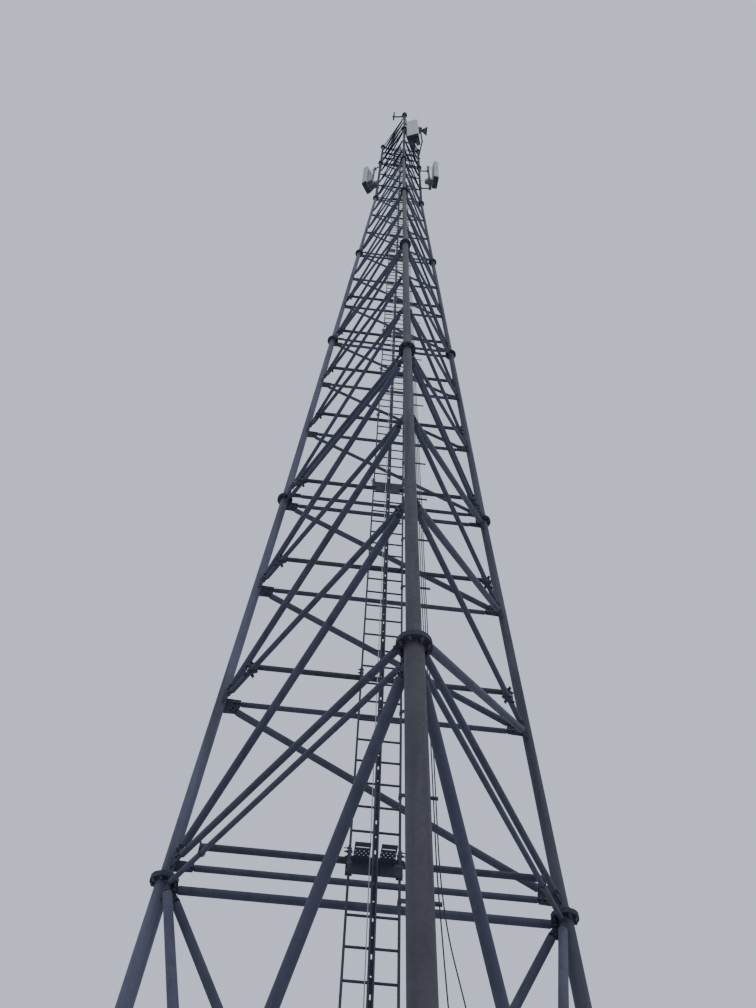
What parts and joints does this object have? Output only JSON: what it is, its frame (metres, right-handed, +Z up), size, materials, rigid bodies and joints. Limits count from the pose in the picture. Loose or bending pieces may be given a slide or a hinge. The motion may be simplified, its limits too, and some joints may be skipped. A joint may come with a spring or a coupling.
{
  "type": "three-legged lattice antenna tower",
  "caption": "Tapered self-supporting lattice tower of steel tube with a ladder, rest platforms, feeder cables and panel antennas at its top.",
  "frame": {"origin": "middle of the underside of the front leg's base plate", "axes": "+Z up the tower; +Y from the front leg into the tower, towards its back face; +X to the right leg's side"},
  "size_m": [4.6696, 4.1006, 39.8951],
  "materials": {
    "leg_tube": "weathered hot-dip galvanised, dull",
    "brace_tube": "weathered hot-dip galvanised, dull and darker",
    "ladder_steel": "weathered hot-dip galvanised, dull",
    "mount_steel": "hot-dip galvanised, dull",
    "rail": "extruded, dull",
    "wire_rope": "galvanised strands, dull",
    "cable_sheath": "black polyethylene sheath",
    "antenna_shell": "light grey glass-fibre radome",
    "radio_case": "light grey powder coat",
    "horn": "grey powder coat",
    "beacon_lens": "red lens on a grey base"
  },
  "bodies": {
    "root": {"front_leg_1": "leg_tube", "front_leg_2": "leg_tube", "front_leg_3": "leg_tube", "front_leg_4": "leg_tube", "front_leg_5": "leg_tube", "front_leg_6": "leg_tube", "front_leg_7": "leg_tube", "right_leg_1": "leg_tube", "right_leg_2": "leg_tube", "right_leg_3": "leg_tube", "right_leg_4": "leg_tube", "right_leg_5": "leg_tube", "right_leg_6": "leg_tube", "right_leg_7": "leg_tube", "left_leg_1": "leg_tube", "left_leg_2": "leg_tube", "left_leg_3": "leg_tube", "left_leg_4": "leg_tube", "left_leg_5": "leg_tube", "left_leg_6": "leg_tube", "left_leg_7": "leg_tube", "right_cross_braces": "brace_tube", "back_cross_braces": "brace_tube", "left_cross_braces": "brace_tube", "right_face_braces": "brace_tube", "back_face_braces": "brace_tube", "left_face_braces": "brace_tube", "right_top_braces": "brace_tube", "back_top_braces": "brace_tube", "left_top_braces": "brace_tube", "ladder": "ladder_steel", "ladder_beams": "ladder_steel", "ladder_arms": "ladder_steel", "climbing_rail": "rail", "safety_rope": "wire_rope", "rest_platforms": "ladder_steel", "cable_brackets": "ladder_steel", "feeder_cables": "cable_sheath", "jumper_cables": "cable_sheath", "front_antenna": "antenna_shell", "right_antenna": "antenna_shell", "left_antenna": "antenna_shell", "front_antenna_mount": "mount_steel", "right_antenna_mount": "mount_steel", "left_antenna_mount": "mount_steel", "remote_units": "radio_case", "beacon": "beacon_lens", "side_arm": "mount_steel", "horn_antenna": "horn"}
  },
  "joints": []
}
